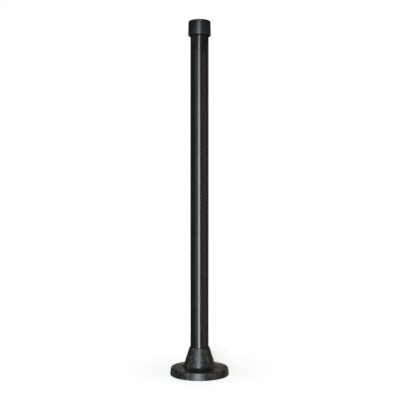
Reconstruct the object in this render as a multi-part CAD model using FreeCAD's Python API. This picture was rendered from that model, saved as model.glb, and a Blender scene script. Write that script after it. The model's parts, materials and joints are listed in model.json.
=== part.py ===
"""A slim round bollard whose post lowers through its own base.

The post is a plain tube with a wide cap.  It slides in two bushes inside a guide tube that is
welded to a ground plate, and a moulded cover with a conical collar hides the plate.  A key turns
a pinion behind the collar, and the pinion drives a rack bolt into one of two holes in the post,
one for the raised post and one for the lowered post.

Frame: millimetres, +Z up, origin on the ground at the centre of the base, the lock towards +Y.
The post is drawn raised and the bolt drawn back.
"""
import FreeCAD
import Part
import math
import os

V = FreeCAD.Vector
UP = V(0, 0, 1)

# ---------------------------------------------------------------- driving dimensions, millimetres
overall_height = 1163.0      # ground to the top of the cap's crown
collar_height = 90.0         # ground to the top of the cover's collar
base_radius = 96.3           # the cover's foot
post_od = 60.0               # standard tube
post_wall = 2.0

cap_height = 50.0
cap_overhang = 7.6           # how far the skirt's lower edge stands out from the post
cap_draft = 1.2              # how much narrower the cap is under its rounded top edge
cap_wall = 2.8
cap_crown = 2.0              # rise of the domed top
cap_top_thickness = 4.0
cap_edge_round = 3.6
cap_lip_round = 1.2
cap_inner_round = 1.5
cap_recess = 5.5             # depth from the skirt's lower edge to the landing ring
cap_dish_depth = 3.4         # the dish that holds the screw head
cap_dish_r = 8.0
cap_boss_r = 10.0
cap_boss_drop = 0.5          # how far the cap's boss reaches down to the head plug

landing_ring_t = 2.0
landing_ring_play = 0.4      # sideways, to the post and to the skirt
landing_ring_gap = 0.4       # above the collar when the post is down
sleeve_grip = 0.05
sleeve_hub = 1.6
sleeve_rib_t = 2.0
sleeve_rib_count = 12
sleeve_web = 2.0
sleeve_play = 0.15

head_plug_t = 12.0
plug_play = 0.1
foot_plug_floor = 3.0
foot_plug_height = 6.5
foot_plug_wall = 3.0
foot_plug_edge_round = 0.5
foot_plug_floor_round = 1.0
drain_r = 3.0

cone_spread = 18.4           # from the guide tube out to the foot of the collar's cone
cone_fillet = 9.0
dome_rise = 2.5              # from the rim up to the foot of the cone
cover_foot_round = 0.8
cover_belly_in = 0.4         # the rim's drafted side: how far in at half its height
cover_belly_round = 25.0
cover_rim_in = 3.1           # and how far in at its top
cover_rim_round = 2.6
cover_inner_round = 1.9
cover_wall = 3.0
collar_lip_height = 11.0
collar_lip_t = 1.9
collar_lip_gap = 0.8         # between the lip and the post
collar_lip_round = 1.0
collar_lip_chamfer = 0.6
cover_rib_count = 8
cover_rib_t = 2.0
cover_rib_start = 6.6        # from the foot of the cone out to the ribs
cover_rest_gap = 0.3         # between the cover's ribs and the plate
snap_count = 6
snap_width = 12.0
snap_reach = 1.4             # how far each snap passes under the plate's edge
snap_t = 0.95
snap_gap = 0.3

gasket_t = 1.5
gasket_inset = 3.0           # from the plate's edge
gasket_bore_gap = 1.0
gasket_hole_r = 6.5
plate_t = 6.0
plate_inset = 4.3            # from the inside of the cover's foot to the plate's edge
plate_edge_round = 0.6
anchor_count = 4
anchor_edge = 19.0           # from the plate's edge in to the anchor holes' circle
anchor_hole_r = 5.5
anchor_first_angle = 45.0

bush_play = 0.3              # between a bush and the post
bush_wall = 1.65
bush_chamfer = 0.6
bush_spacing = 7.0           # from the lower bush up to the upper one
lower_bush_rise = 3.85       # from the top of the bolt up to the lower bush
upper_bush_flange_t = 2.0
upper_bush_flange_reach = 0.5
press_gap = 0.05
guide_wall = 3.0
guide_drop = 11.0            # from the collar's lip down to the guide's top
guide_depth_in_plate = 2.0
weld_leg = 3.5
weld_gap = 0.3
gusset_t = 4.0
gusset_edge = 4.5
gusset_inset = 14.0          # from the plate's edge
gusset_shoulder_in = 5.4     # where the gusset's outline bends, inside the cone's foot
gusset_shoulder_z = 10.8
gusset_drop = 16.0           # from the guide's top down to the gussets' tops
gusset_top_w = 2.0
gusset_angles = (0.0, 180.0, 270.0)
wiper_play = 0.3
wiper_t = 4.0
wiper_lip_t = 1.0
wiper_lip_foot = 2.5         # how far the lip's root reaches outwards
wiper_lip_round = 0.33
wiper_cover_gap = 0.25
wiper_lip_gap = 0.4
wiper_chamfer = 0.7

foot_ring_reach = 2.0        # how far the foot ring passes under the guide's end
foot_ring_t = 2.6
foot_buffer_t = 1.6
foot_buffer_inset = 0.4
foot_stop_gap = 0.3          # below the guide's end with the post raised

pinion_module = 1.0
pinion_teeth = 12
pinion_addendum = 0.8
rack_addendum = 0.7
tooth_clearance = 0.35
tooth_backlash = 0.16
pressure_angle = 20.0
key_turn_deg = 90.0
lock_x = 9.0                 # the pinion's axis, beside the bolt
lock_rim_gap = 4.0           # between the housing and the inside of the rim
lock_floor = 1.8
lock_lid_t = 1.2
lock_wall = 2.8
lock_front_gap = 0.5         # between the weld and the housing
lock_front_wall = 3.0
lock_corner_r = 3.0
lock_cover_gap = 2.4         # between the lid and the underside of the cover's rim
bolt_height = 7.6
bolt_play = 0.25
bolt_half_width = 4.8
bolt_nose_inset = 0.1
bolt_nose_gap = 1.4          # from the drawn-back nose to the post
bolt_end_gap = 0.6           # left in front of the shoulder with the bolt thrown
bolt_chamfer = 0.9
guide_hole_play = 0.5
post_hole_play = 1.05
rack_teeth_before = 2
rack_teeth_after = 4
spindle_lower_r = 3.5
spindle_upper_r = 4.0
spindle_play = 0.08
spindle_foot_gap = 0.3
spindle_collar = 0.4
key_head_r = 5.0             # corner radius of the three-sided key head
key_head_height = 6.0
key_head_flat = 0.6          # how much of each corner is turned off
key_well_r = 7.0
ear_r = 4.2
ear_offset = 4.0             # from the housing's sides out to its screws
ear_front = 7.0
ear_back = 9.0
lock_screw_r = 2.0
lock_screw_head_r = 3.7
lock_screw_head_t = 1.9
lock_screw_reach = 4.5       # into the plate
lock_screw_tap = 0.5
lock_screw_socket_r = 1.25
lock_screw_socket_depth = 1.2

turret_r = 10.5
turret_tail_r = 6.3          # round the flap's pivot
turret_height = 6.0          # above the top of the rim
turret_round = 1.2
turret_gap = 0.4             # to the edge of the hole in the cover
turret_peg_r = 1.2
turret_peg_reach = 2.4       # into the housing, through the lid
flap_arm = 13.0              # from the flap's pivot to the well
flap_gap = 0.2
flap_t = 1.6
flap_r = 8.8
flap_ear_r = 4.6
flap_edge = 0.35
flap_nib_r = 1.5
flap_nib_in = 3.0
rivet_r = 1.45
rivet_play = 0.1
rivet_head_r = 3.2
rivet_head_t = 1.3
rivet_foot_gap = 0.1         # above the underside of the lid

cap_screw_r = 3.0
cap_screw_clearance = 0.3
cap_screw_head_r = 5.25
cap_screw_head_t = 2.0
cap_screw_length = 14.0
cap_screw_socket_r = 1.9
cap_screw_socket_depth = 1.3
cap_washer_r = 7.0
cap_washer_t = 1.2

# ---------------------------------------------------------------- sizes that follow from them
post_r = post_od / 2
post_bore = post_r - post_wall
guide_bore = post_r + bush_play + bush_wall + press_gap
guide_r = guide_bore + guide_wall
bush_r = guide_bore - press_gap

cap_skirt_r = post_r + cap_overhang
cap_top_r = cap_skirt_r - cap_draft
cap_bottom = overall_height - cap_height
cap_edge_z = overall_height - cap_crown
cap_roof = cap_edge_z - cap_top_thickness          # underside of the cap's top
cap_crown_radius = (cap_top_r ** 2 + cap_crown ** 2) / (2 * cap_crown)
cap_dish_floor = overall_height - cap_dish_depth
post_top = cap_roof - cap_boss_drop
landing_z = cap_bottom + cap_recess
sleeve_z = landing_z + landing_ring_t
travel = landing_z - collar_height - landing_ring_gap

plate_top = gasket_t + plate_t
plate_r = base_radius - cover_wall - plate_inset
gasket_r = plate_r - gasket_inset
anchor_pcd = 2 * (plate_r - anchor_edge)
guide_foot = plate_top - guide_depth_in_plate
collar_lip_z = collar_height - collar_lip_height
collar_lip_r = post_r + collar_lip_gap
collar_top_r = collar_lip_r + collar_lip_t
guide_top = collar_lip_z - guide_drop
foot_ring_r = guide_bore + foot_ring_reach
foot_buffer_top = guide_foot - foot_stop_gap
foot_buffer_z = foot_buffer_top - foot_buffer_t
post_foot = foot_buffer_z - foot_ring_t

pitch_r = pinion_module * pinion_teeth / 2
tooth_pitch = math.pi * pinion_module
bolt_travel = pitch_r * math.radians(key_turn_deg)
rack_line_x = lock_x - pitch_r
rack_root_x = rack_line_x - pinion_addendum - tooth_clearance
bolt_z0 = plate_top + lock_floor + bolt_play
bolt_z1 = bolt_z0 + bolt_height
bolt_z = (bolt_z0 + bolt_z1) / 2
bolt_nose_r = bolt_height / 2 - bolt_nose_inset
lock_front_y = guide_r + weld_leg + lock_front_gap
lock_back_y = base_radius - cover_rim_in - cover_wall - lock_rim_gap
lock_inner_y = lock_front_y + lock_front_wall
bolt_tip_y = post_r + bolt_nose_gap
bolt_shoulder_y = lock_inner_y + bolt_travel + bolt_end_gap
bolt_tail_y = lock_back_y - lock_wall - bolt_play
lock_y = bolt_tail_y - (rack_teeth_after + 0.5) * tooth_pitch
bolt_rack_y = lock_y - (rack_teeth_before + 0.5) * tooth_pitch
lock_roof = bolt_z1 + bolt_play
lock_lid_top = lock_roof + lock_lid_t
pinion_pocket_r = pitch_r + pinion_addendum + bolt_play
lock_left_x = -bolt_half_width - bolt_play - lock_wall
lock_right_x = lock_x + pinion_pocket_r + lock_wall
lower_bush_z = bolt_z1 + lower_bush_rise
bush_length = (guide_top - lower_bush_z - bush_spacing) / 2

cone_foot_r = guide_r + cone_spread
cover_rim_z = lock_lid_top + lock_cover_gap + cover_wall
cover_rim_r = base_radius - cover_rim_in
cone_foot_z = cover_rim_z + dome_rise
turret_top = cover_rim_z + turret_height
turret_peg_y = (key_well_r + turret_r) / 2
flap_pivot_x = lock_x - flap_arm


def cone_r(z):
    """Outer radius of the cover's conical collar at a height."""
    slope = (collar_top_r - cone_foot_r) / (collar_height - cone_foot_z)
    return cone_foot_r + (z - cone_foot_z) * slope


def skirt_r(z):
    """Outer radius of the cap's drafted skirt at a height."""
    slope = (cap_top_r - cap_skirt_r) / (cap_edge_z - cap_bottom)
    return cap_skirt_r + (z - cap_bottom) * slope


# ---------------------------------------------------------------- small helpers
def rounded_face(corners):
    """A closed face in the XZ plane from (r, z, rounding) corners, each rounded by a tangent arc."""
    points = [V(r, 0, z) for r, z, _ in corners]
    count = len(points)
    edges, starts, ends = [], [], []
    for i in range(count):
        here, before, after = points[i], points[i - 1], points[(i + 1) % count]
        to_before, to_after = (before - here).normalize(), (after - here).normalize()
        rounding = corners[i][2]
        if rounding <= 0:
            starts.append(here)
            ends.append(here)
            continue
        half = to_before.getAngle(to_after) / 2
        leg = rounding / math.tan(half)
        bisector = (to_before + to_after).normalize()
        start, end = here + to_before * leg, here + to_after * leg
        middle = here + bisector * (rounding / math.sin(half) - rounding)
        starts.append(start)
        ends.append(end)
        edges.append((i, Part.Arc(start, middle, end).toShape()))
    arcs = dict(edges)
    outline = []
    for i in range(count):
        if i in arcs:
            outline.append(arcs[i])
        here, after = ends[i], starts[(i + 1) % count]
        if here.distanceToPoint(after) > 1e-6:
            outline.append(Part.makeLine(here, after))
    return Part.Face(Part.Wire(outline))


def turned(*corners):
    """A solid turned about Z from (r, z) or (r, z, rounding) corners."""
    full = [(c[0], c[1], c[2] if len(c) > 2 else 0.0) for c in corners]
    return rounded_face(full).revolve(V(0, 0, 0), UP, 360)


def ring(inner, outer, low, high, chamfer=0.0):
    """A plain turned ring, with its inner edges chamfered if asked."""
    if chamfer <= 0:
        return turned((inner, low), (outer, low), (outer, high), (inner, high))
    return turned((inner + chamfer, low), (outer, low), (outer, high), (inner + chamfer, high),
                  (inner, high - chamfer), (inner, low + chamfer))


def cylinder(radius, low, high, x=0.0, y=0.0):
    return Part.makeCylinder(radius, high - low, V(x, y, low), UP)


def block(x0, x1, y0, y1, z0, z1):
    return Part.makeBox(x1 - x0, y1 - y0, z1 - z0, V(x0, y0, z0))


def spun(shape, angle):
    """A copy turned about the Z axis."""
    copy = shape.copy()
    copy.rotate(V(0, 0, 0), UP, angle)
    return copy


def polar(radius, angle):
    a = math.radians(angle)
    return radius * math.cos(a), radius * math.sin(a)


def anchor_points():
    step = 360.0 / anchor_count
    return [polar(anchor_pcd / 2, anchor_first_angle + i * step) for i in range(anchor_count)]


def screw_points():
    """The lock's four screws, one in each ear."""
    ends = (lock_front_y + ear_front, lock_back_y - ear_back)
    return [(x, y) for x in (lock_left_x - ear_offset, lock_right_x + ear_offset) for y in ends]


def teardrop(well_r, pivot_r, low, high):
    """A prism round the key well and the flap's pivot, with straight sides between the two rounds."""
    lean = math.asin((well_r - pivot_r) / flap_arm)
    side = [V(x - radius * math.sin(lean), lock_y + radius * math.cos(lean), low)
            for x, radius in ((flap_pivot_x, pivot_r), (lock_x, well_r))]
    other = [V(point.x, 2 * lock_y - point.y, low) for point in side]
    tail, nose = V(flap_pivot_x - pivot_r, lock_y, low), V(lock_x + well_r, lock_y, low)
    outline = Part.Wire([Part.makeLine(side[0], side[1]), Part.Arc(side[1], nose, other[1]).toShape(),
                         Part.makeLine(other[1], other[0]), Part.Arc(other[0], tail, side[0]).toShape()])
    return Part.Face(outline).extrude(V(0, 0, high - low))


def hexagon(radius, low, high, x=0.0, y=0.0):
    """A hexagonal prism that fits a circle of this radius."""
    points = [V(x, y, low) + V(*polar(radius, 60 * i), 0) for i in range(7)]
    return Part.Face(Part.makePolygon(points)).extrude(V(0, 0, high - low))


# ---------------------------------------------------------------- the ground plate and its guide
def base_gasket():
    gasket = ring(guide_r + gasket_bore_gap, gasket_r, 0.0, gasket_t)
    for x, y in anchor_points():
        gasket = gasket.cut(cylinder(gasket_hole_r, -1, gasket_t + 1, x, y))
    return gasket


def base_plate():
    plate = turned((guide_r + press_gap, gasket_t), (plate_r, gasket_t, plate_edge_round),
                   (plate_r, plate_top, plate_edge_round), (guide_r + press_gap, plate_top))
    for x, y in anchor_points():
        plate = plate.cut(cylinder(anchor_hole_r, 0, plate_top + 1, x, y))
    for x, y in screw_points():
        tapped = cylinder(lock_screw_r + press_gap, plate_top - lock_screw_reach - lock_screw_tap,
                          plate_top + 1, x, y)
        plate = plate.cut(tapped)
    return plate


def guide_tube():
    """The welded guide, with its fillet weld and the hole for the bolt's nose."""
    tube = turned((guide_bore, guide_foot), (guide_r, guide_foot), (guide_r, plate_top),
                  (guide_r + weld_leg, plate_top), (guide_r, plate_top + weld_leg),
                  (guide_r, guide_top), (guide_bore, guide_top))
    nose_hole = Part.makeCylinder(bolt_nose_r + guide_hole_play, guide_r,
                                  V(0, guide_bore / 2, bolt_z), V(0, 1, 0))
    return tube.cut(nose_hole)


def guide_gussets():
    """Three flat ribs between the guide and the plate, notched over the weld."""
    reach, height = plate_r - gusset_inset, guide_top - gusset_drop
    notch = weld_leg + weld_gap
    side = [(guide_r + notch, plate_top), (reach, plate_top), (reach, plate_top + gusset_edge),
            (cone_foot_r - gusset_shoulder_in, plate_top + gusset_shoulder_z),
            (guide_r + gusset_top_w, height), (guide_r + press_gap, height),
            (guide_r + press_gap, plate_top + notch)]
    points = [V(r, -gusset_t / 2, z) for r, z in side]
    rib = Part.Face(Part.makePolygon(points + points[:1])).extrude(V(0, gusset_t, 0))
    return Part.makeCompound([spun(rib, angle) for angle in gusset_angles])


def lower_bush():
    return ring(post_r + bush_play, bush_r, lower_bush_z, lower_bush_z + bush_length, bush_chamfer)


def upper_bush():
    inner, chamfer = post_r + bush_play, bush_chamfer
    low, high = guide_top - bush_length, guide_top + upper_bush_flange_t
    flange_r = guide_r + upper_bush_flange_reach
    return turned((inner + chamfer, low), (bush_r, low), (bush_r, guide_top), (flange_r, guide_top),
                  (flange_r, high), (inner + chamfer, high), (inner, high - chamfer),
                  (inner, low + chamfer))


def wiper_seal():
    """A rubber ring with one upturned lip that wipes the post under the collar's lip."""
    low = guide_top + upper_bush_flange_t
    step, high = low + wiper_t, collar_lip_z - wiper_lip_gap
    inner = post_r + wiper_play
    outer = cone_r(low) - cover_wall - wiper_cover_gap
    outer_step = cone_r(step) - cover_wall - wiper_cover_gap
    return turned((inner + wiper_chamfer, low), (outer, low), (outer_step, step),
                  (inner + wiper_lip_foot, step), (inner + wiper_lip_t, high, wiper_lip_round),
                  (inner, high, wiper_lip_round), (inner, low + wiper_chamfer))


# ---------------------------------------------------------------- the cover
def base_cover():
    """The moulded cover: drafted rim, low dome, cone and lip, with ribs, snaps and the turret's hole."""
    belly_r, belly_z = base_radius - cover_belly_in, cover_rim_z / 2
    outside = turned((0, 0), (base_radius, 0, cover_foot_round), (belly_r, belly_z, cover_belly_round),
                     (cover_rim_r, cover_rim_z, cover_rim_round), (cone_foot_r, cone_foot_z, cone_fillet),
                     (collar_top_r, collar_height, collar_lip_round), (0, collar_height))
    ceiling_z = cone_foot_z - cover_wall
    mouth_r, brim_z = collar_lip_r + collar_lip_chamfer, collar_height + 1
    hollow = turned((0, -1), (base_radius - cover_wall, -1),
                    (cover_rim_r - cover_wall, cover_rim_z - cover_wall, cover_inner_round),
                    (cone_r(ceiling_z) - cover_wall, ceiling_z, cone_fillet - cover_wall),
                    (cone_r(collar_lip_z) - cover_wall, collar_lip_z), (collar_lip_r, collar_lip_z),
                    (collar_lip_r, collar_height - collar_lip_chamfer), (mouth_r, collar_height),
                    (mouth_r, brim_z), (0, brim_z))
    inside = [rib.common(outside) for rib in cover_rib_blocks()] + snap_blocks()
    turret_hole = teardrop(turret_r + turret_gap, turret_tail_r + turret_gap, plate_top, turret_top)
    return outside.cut(hollow).fuse(inside).cut(turret_hole).removeSplitter()


def cover_rib_blocks():
    """Radial ribs under the dome, resting just over the plate."""
    step = 360.0 / cover_rib_count
    rib = block(cone_foot_r + cover_rib_start, cover_rim_r - cover_wall / 2,
                -cover_rib_t / 2, cover_rib_t / 2, plate_top + cover_rest_gap, cone_foot_z)
    return [spun(rib, step * (i + 0.5)) for i in range(cover_rib_count)]


def snap_blocks():
    """Noses inside the rim that hold under the plate's edge."""
    step = 360.0 / snap_count
    low = gasket_t - snap_gap - snap_t
    nose = block(plate_r - snap_reach, base_radius - cover_wall / 2, -snap_width / 2, snap_width / 2,
                 low, low + snap_t)
    return [spun(nose, step * (i + 0.25)) for i in range(snap_count)]


# ---------------------------------------------------------------- the lock
def lock_outline(low, high):
    """The housing's plan: a long box with four screw ears."""
    body = block(lock_left_x, lock_right_x, lock_front_y, lock_back_y, low, high)
    corners = [e for e in body.Edges if e.BoundBox.YMin > lock_back_y - 0.01
               and e.BoundBox.XLength < 0.01]
    body = body.makeFillet(lock_corner_r, corners)
    ears = []
    for x, y in screw_points():
        ears.append(cylinder(ear_r, low, high, x, y))
        ears.append(block(min(x, 0), max(x, 0), y - ear_r, y + ear_r, low, high))
    return body.fuse(ears).removeSplitter()


def screw_shape(x, y, play=0.0):
    """A countersunk screw, or the room it needs when play is given."""
    top, reach = lock_lid_top, plate_top - lock_screw_reach
    neck = top - lock_screw_head_t
    head = Part.makeCone(lock_screw_r + play, lock_screw_head_r + play, lock_screw_head_t,
                         V(x, y, neck), UP)
    return head.fuse(cylinder(lock_screw_r + play, reach, neck, x, y))


def lock_housing():
    """The die-cast box: nose bore in front, bolt channel, pinion pocket and spindle bearing."""
    floor = plate_top + lock_floor
    housing = lock_outline(plate_top, lock_roof)
    channel = block(-bolt_half_width - bolt_play, bolt_half_width + bolt_play,
                    lock_inner_y, bolt_tail_y + bolt_play, floor, lock_roof + 1)
    pocket = cylinder(pinion_pocket_r, floor, lock_roof + 1, lock_x, lock_y)
    nose = Part.makeCylinder(bolt_nose_r + bolt_play, 20, V(0, lock_front_y - 1, bolt_z), V(0, 1, 0))
    bearing = cylinder(spindle_lower_r + spindle_play, plate_top - 1, floor + 1, lock_x, lock_y)
    screws = [screw_shape(x, y, press_gap) for x, y in screw_points()]
    return housing.cut([channel, pocket, nose, bearing] + screws + turret_peg_holes())


def lock_lid():
    lid = lock_outline(lock_roof, lock_lid_top)
    bearing = cylinder(spindle_upper_r + spindle_play, lock_roof - 1, lock_lid_top + 1, lock_x, lock_y)
    rivet_hole = cylinder(rivet_r + press_gap, lock_roof - 1, lock_lid_top + 1, flap_pivot_x, lock_y)
    screws = [screw_shape(x, y, press_gap) for x, y in screw_points()]
    return lid.cut([bearing, rivet_hole] + screws + turret_peg_holes())


def key_turret():
    """The cast turret over the spindle: it carries the key well and the flap up through the cover."""
    turret = teardrop(turret_r, turret_tail_r, lock_lid_top, turret_top)
    rim = [e for e in turret.Edges if e.BoundBox.ZMin > turret_top - 0.01]
    turret = turret.makeFillet(turret_round, rim)
    pegs = [cylinder(turret_peg_r, lock_roof - turret_peg_reach, lock_lid_top + 1, lock_x, y)
            for y in turret_peg_places()]
    well = cylinder(key_well_r, lock_lid_top - 1, turret_top + 1, lock_x, lock_y)
    rivet_hole = cylinder(rivet_r + press_gap, lock_lid_top - 1, turret_top + 1, flap_pivot_x, lock_y)
    return turret.fuse(pegs).cut([well, rivet_hole]).removeSplitter()


def turret_peg_places():
    return [lock_y + side * turret_peg_y for side in (-1, 1)]


def turret_peg_holes():
    """Room for the turret's pegs in the lid and the housing."""
    return [cylinder(turret_peg_r + press_gap, lock_roof - turret_peg_reach - 2 * press_gap,
                     lock_lid_top + 1, lock_x, y) for y in turret_peg_places()]


def lock_screws():
    """Four countersunk screws through the lid and the housing into the plate."""
    made = []
    for x, y in screw_points():
        socket = hexagon(lock_screw_socket_r, lock_lid_top - lock_screw_socket_depth,
                         lock_lid_top + 1, x, y)
        made.append(screw_shape(x, y).cut(socket))
    return Part.makeCompound(made)


def rack_tooth(y):
    """One straight-sided tooth that points at the pinion."""
    lean = math.tan(math.radians(pressure_angle))
    half = tooth_pitch / 4 - tooth_backlash / 2
    tip_x = rack_line_x + rack_addendum
    root = half + (rack_line_x - rack_root_x) * lean
    tip = half - rack_addendum * lean
    points = [V(0, y - root, bolt_z0), V(rack_root_x, y - root, bolt_z0),
              V(tip_x, y - tip, bolt_z0), V(tip_x, y + tip, bolt_z0),
              V(rack_root_x, y + root, bolt_z0), V(0, y + root, bolt_z0)]
    return Part.Face(Part.makePolygon(points + points[:1])).extrude(V(0, 0, bolt_height))


def lock_bolt():
    """Round nose, square shank and a rack along the side that faces the pinion."""
    nose = Part.makeCylinder(bolt_nose_r, bolt_shoulder_y - bolt_tip_y + 1, V(0, bolt_tip_y, bolt_z),
                             V(0, 1, 0))
    tip = [e for e in nose.Edges if e.BoundBox.YMax < bolt_tip_y + 0.01]
    nose = nose.makeChamfer(bolt_chamfer, tip)
    shank = block(-bolt_half_width, bolt_half_width, bolt_shoulder_y, bolt_rack_y, bolt_z0, bolt_z1)
    back = block(-bolt_half_width, rack_root_x, bolt_shoulder_y, bolt_tail_y, bolt_z0, bolt_z1)
    teeth = [rack_tooth(lock_y + i * tooth_pitch)
             for i in range(-rack_teeth_before, rack_teeth_after + 1)]
    return nose.fuse([shank, back] + teeth).removeSplitter()


def pinion_face(z):
    """An involute pinion's outline, with a gap centred on the side that faces the rack."""
    alpha = math.radians(pressure_angle)
    base_r = pitch_r * math.cos(alpha)
    tip_r = pitch_r + pinion_addendum
    root_r = pitch_r - rack_addendum - tooth_clearance
    play = tooth_backlash / 2 / pitch_r

    def half_angle(radius):
        at = math.acos(base_r / radius)
        gain = (math.tan(alpha) - alpha) - (math.tan(at) - at)
        return math.pi / (2 * pinion_teeth) + gain - play

    def place(radius, angle):
        return V(lock_x + radius * math.cos(angle), lock_y + radius * math.sin(angle), z)

    edges = []
    step = 2 * math.pi / pinion_teeth
    middle_r = (base_r + tip_r) / 2
    for i in range(pinion_teeth):
        centre = math.pi + step * (i + 0.5)
        wide, half, narrow = half_angle(base_r), half_angle(middle_r), half_angle(tip_r)
        root_in, root_out = place(root_r, centre - wide), place(root_r, centre + wide)
        edges.append(Part.makeLine(root_in, place(base_r, centre - wide)))
        edges.append(Part.Arc(place(base_r, centre - wide), place(middle_r, centre - half),
                              place(tip_r, centre - narrow)).toShape())
        edges.append(Part.Arc(place(tip_r, centre - narrow), place(tip_r, centre),
                              place(tip_r, centre + narrow)).toShape())
        edges.append(Part.Arc(place(tip_r, centre + narrow), place(middle_r, centre + half),
                              place(base_r, centre + wide)).toShape())
        edges.append(Part.makeLine(place(base_r, centre + wide), root_out))
        edges.append(Part.Arc(root_out, place(root_r, centre + step / 2),
                              place(root_r, centre + step - wide)).toShape())
    return Part.Face(Part.Wire(edges))


def key_spindle():
    """Pinion, two journals and the three-sided head that the key fits."""
    head_r, head_top = key_head_r + 2 * key_head_flat, lock_lid_top + key_head_height
    pinion = pinion_face(bolt_z0).extrude(V(0, 0, bolt_height))
    lower = cylinder(spindle_lower_r, plate_top + spindle_foot_gap, bolt_z, lock_x, lock_y)
    upper = cylinder(spindle_upper_r, bolt_z, lock_lid_top + spindle_collar, lock_x, lock_y)
    centre = V(lock_x, lock_y, lock_lid_top)
    corners = [centre + V(*polar(head_r, 120 * i + 90), 0) for i in range(4)]
    head = Part.Face(Part.makePolygon(corners)).extrude(V(0, 0, key_head_height))
    head = head.common(cylinder(key_head_r, lock_lid_top, head_top, lock_x, lock_y))
    return pinion.fuse([lower, upper, head]).removeSplitter()


def key_flap():
    """The swinging cover over the key well, with a nib for a finger."""
    low, high = turret_top + flap_gap, turret_top + flap_gap + flap_t
    flap = teardrop(flap_r, flap_ear_r, low, high)
    rim = [e for e in flap.Edges if e.BoundBox.ZMin > high - 0.01]
    flap = flap.makeChamfer(flap_edge, rim)
    nib_x, above = lock_x + flap_r - flap_nib_in, high - flap_t / 2
    nib = Part.makeSphere(flap_nib_r, V(nib_x, lock_y, high))
    nib = nib.common(cylinder(2 * flap_nib_r, above, above + 2 * flap_nib_r, nib_x, lock_y))
    hole = cylinder(rivet_r + rivet_play, low - 1, high + 1, flap_pivot_x, lock_y)
    return flap.fuse(nib).cut(hole)


def flap_rivet():
    under = turret_top + flap_gap + flap_t + flap_gap
    shank = cylinder(rivet_r, lock_roof + rivet_foot_gap, under + rivet_head_t / 2, flap_pivot_x, lock_y)
    radius = (rivet_head_r ** 2 + rivet_head_t ** 2) / (2 * rivet_head_t)
    dome = Part.makeSphere(radius, V(flap_pivot_x, lock_y, under + rivet_head_t - radius))
    head = dome.common(cylinder(rivet_head_r, under, under + rivet_head_t, flap_pivot_x, lock_y))
    return shank.fuse(head).removeSplitter()


# ---------------------------------------------------------------- the post and its cap
def post_tube():
    tube = ring(post_bore, post_r, post_foot, post_top)
    for z in (bolt_z, bolt_z + travel):
        hole = Part.makeCylinder(bolt_nose_r + post_hole_play, post_r, V(0, post_bore / 2, z), V(0, 1, 0))
        tube = tube.cut(hole)
    return tube


def foot_ring():
    """The steel ring welded round the post's foot, which stops it under the guide."""
    return ring(post_r, foot_ring_r, post_foot, foot_buffer_z)


def foot_buffer():
    return ring(post_r, foot_ring_r - foot_buffer_inset, foot_buffer_z, foot_buffer_top)


def foot_plug():
    outer, low = post_bore - plug_play, post_foot
    inner, floor, top = outer - foot_plug_wall, low + foot_plug_floor, low + foot_plug_height
    return turned((drain_r, low), (outer, low), (outer, top, foot_plug_edge_round),
                  (inner, top, foot_plug_edge_round), (inner, floor, foot_plug_floor_round),
                  (drain_r, floor))


def head_plug():
    return ring(cap_screw_r + press_gap, post_bore - plug_play, post_top - head_plug_t, post_top)


def cap_sleeve():
    """The moulded ring that grips the post's end and carries the cap, pocketed between its ribs."""
    inner, low, high = post_r + sleeve_grip, sleeve_z, post_top
    top_r = skirt_r(high) - cap_wall - sleeve_play
    sleeve = turned((inner, low), (skirt_r(low) - cap_wall - sleeve_play, low),
                    (top_r, high - cap_inner_round), (top_r - cap_inner_round, high), (inner, high))
    pockets = ring(inner + sleeve_hub, cap_skirt_r, low + sleeve_web, high + 1)
    spoke = block(0, cap_skirt_r + 1, -sleeve_rib_t / 2, sleeve_rib_t / 2, low, high + 2)
    step = 360.0 / sleeve_rib_count
    return sleeve.cut(pockets.cut([spun(spoke, step * i) for i in range(sleeve_rib_count)]))


def landing_ring():
    """The rubber ring that meets the collar's lip when the post is down."""
    outer = skirt_r(landing_z) - cap_wall - landing_ring_play
    return ring(post_r + landing_ring_play, outer, landing_z, sleeve_z)


def cap_shell():
    """The cap's outer moulding: drafted skirt, rounded edge, low crown, and a dish for the screw."""
    body = turned((0, cap_bottom), (cap_skirt_r, cap_bottom), (cap_top_r, cap_edge_z),
                  (cap_top_r, overall_height + 1), (0, overall_height + 1))
    crown = Part.makeSphere(cap_crown_radius, V(0, 0, overall_height - cap_crown_radius))
    body = body.common(crown)
    edge = [e for e in body.Edges if abs(e.BoundBox.ZMax - cap_edge_z) < 0.3
            and e.BoundBox.XLength > cap_top_r and e.BoundBox.ZLength < 0.01]
    body = body.makeFillet(cap_edge_round, edge)
    hollow = turned((0, cap_bottom - 1), (cap_skirt_r - cap_wall, cap_bottom - 1),
                    (skirt_r(cap_roof) - cap_wall, cap_roof, cap_inner_round), (0, cap_roof))
    shell = body.cut(hollow)
    lip = [e for e in shell.Edges if e.BoundBox.ZMax < cap_bottom + 0.01 and e.BoundBox.XLength > 1]
    shell = shell.makeFillet(cap_lip_round, lip)
    shell = shell.fuse(cylinder(cap_boss_r, post_top, cap_roof + cap_top_thickness / 2))
    shell = shell.cut([cylinder(cap_dish_r, cap_dish_floor, overall_height + 1),
                       cylinder(cap_screw_r + cap_screw_clearance, post_top - 1, overall_height)])
    return shell.removeSplitter()


def cap_washer():
    inner = cap_screw_r + cap_screw_clearance
    return ring(inner, cap_washer_r, cap_dish_floor, cap_dish_floor + cap_washer_t)


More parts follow.
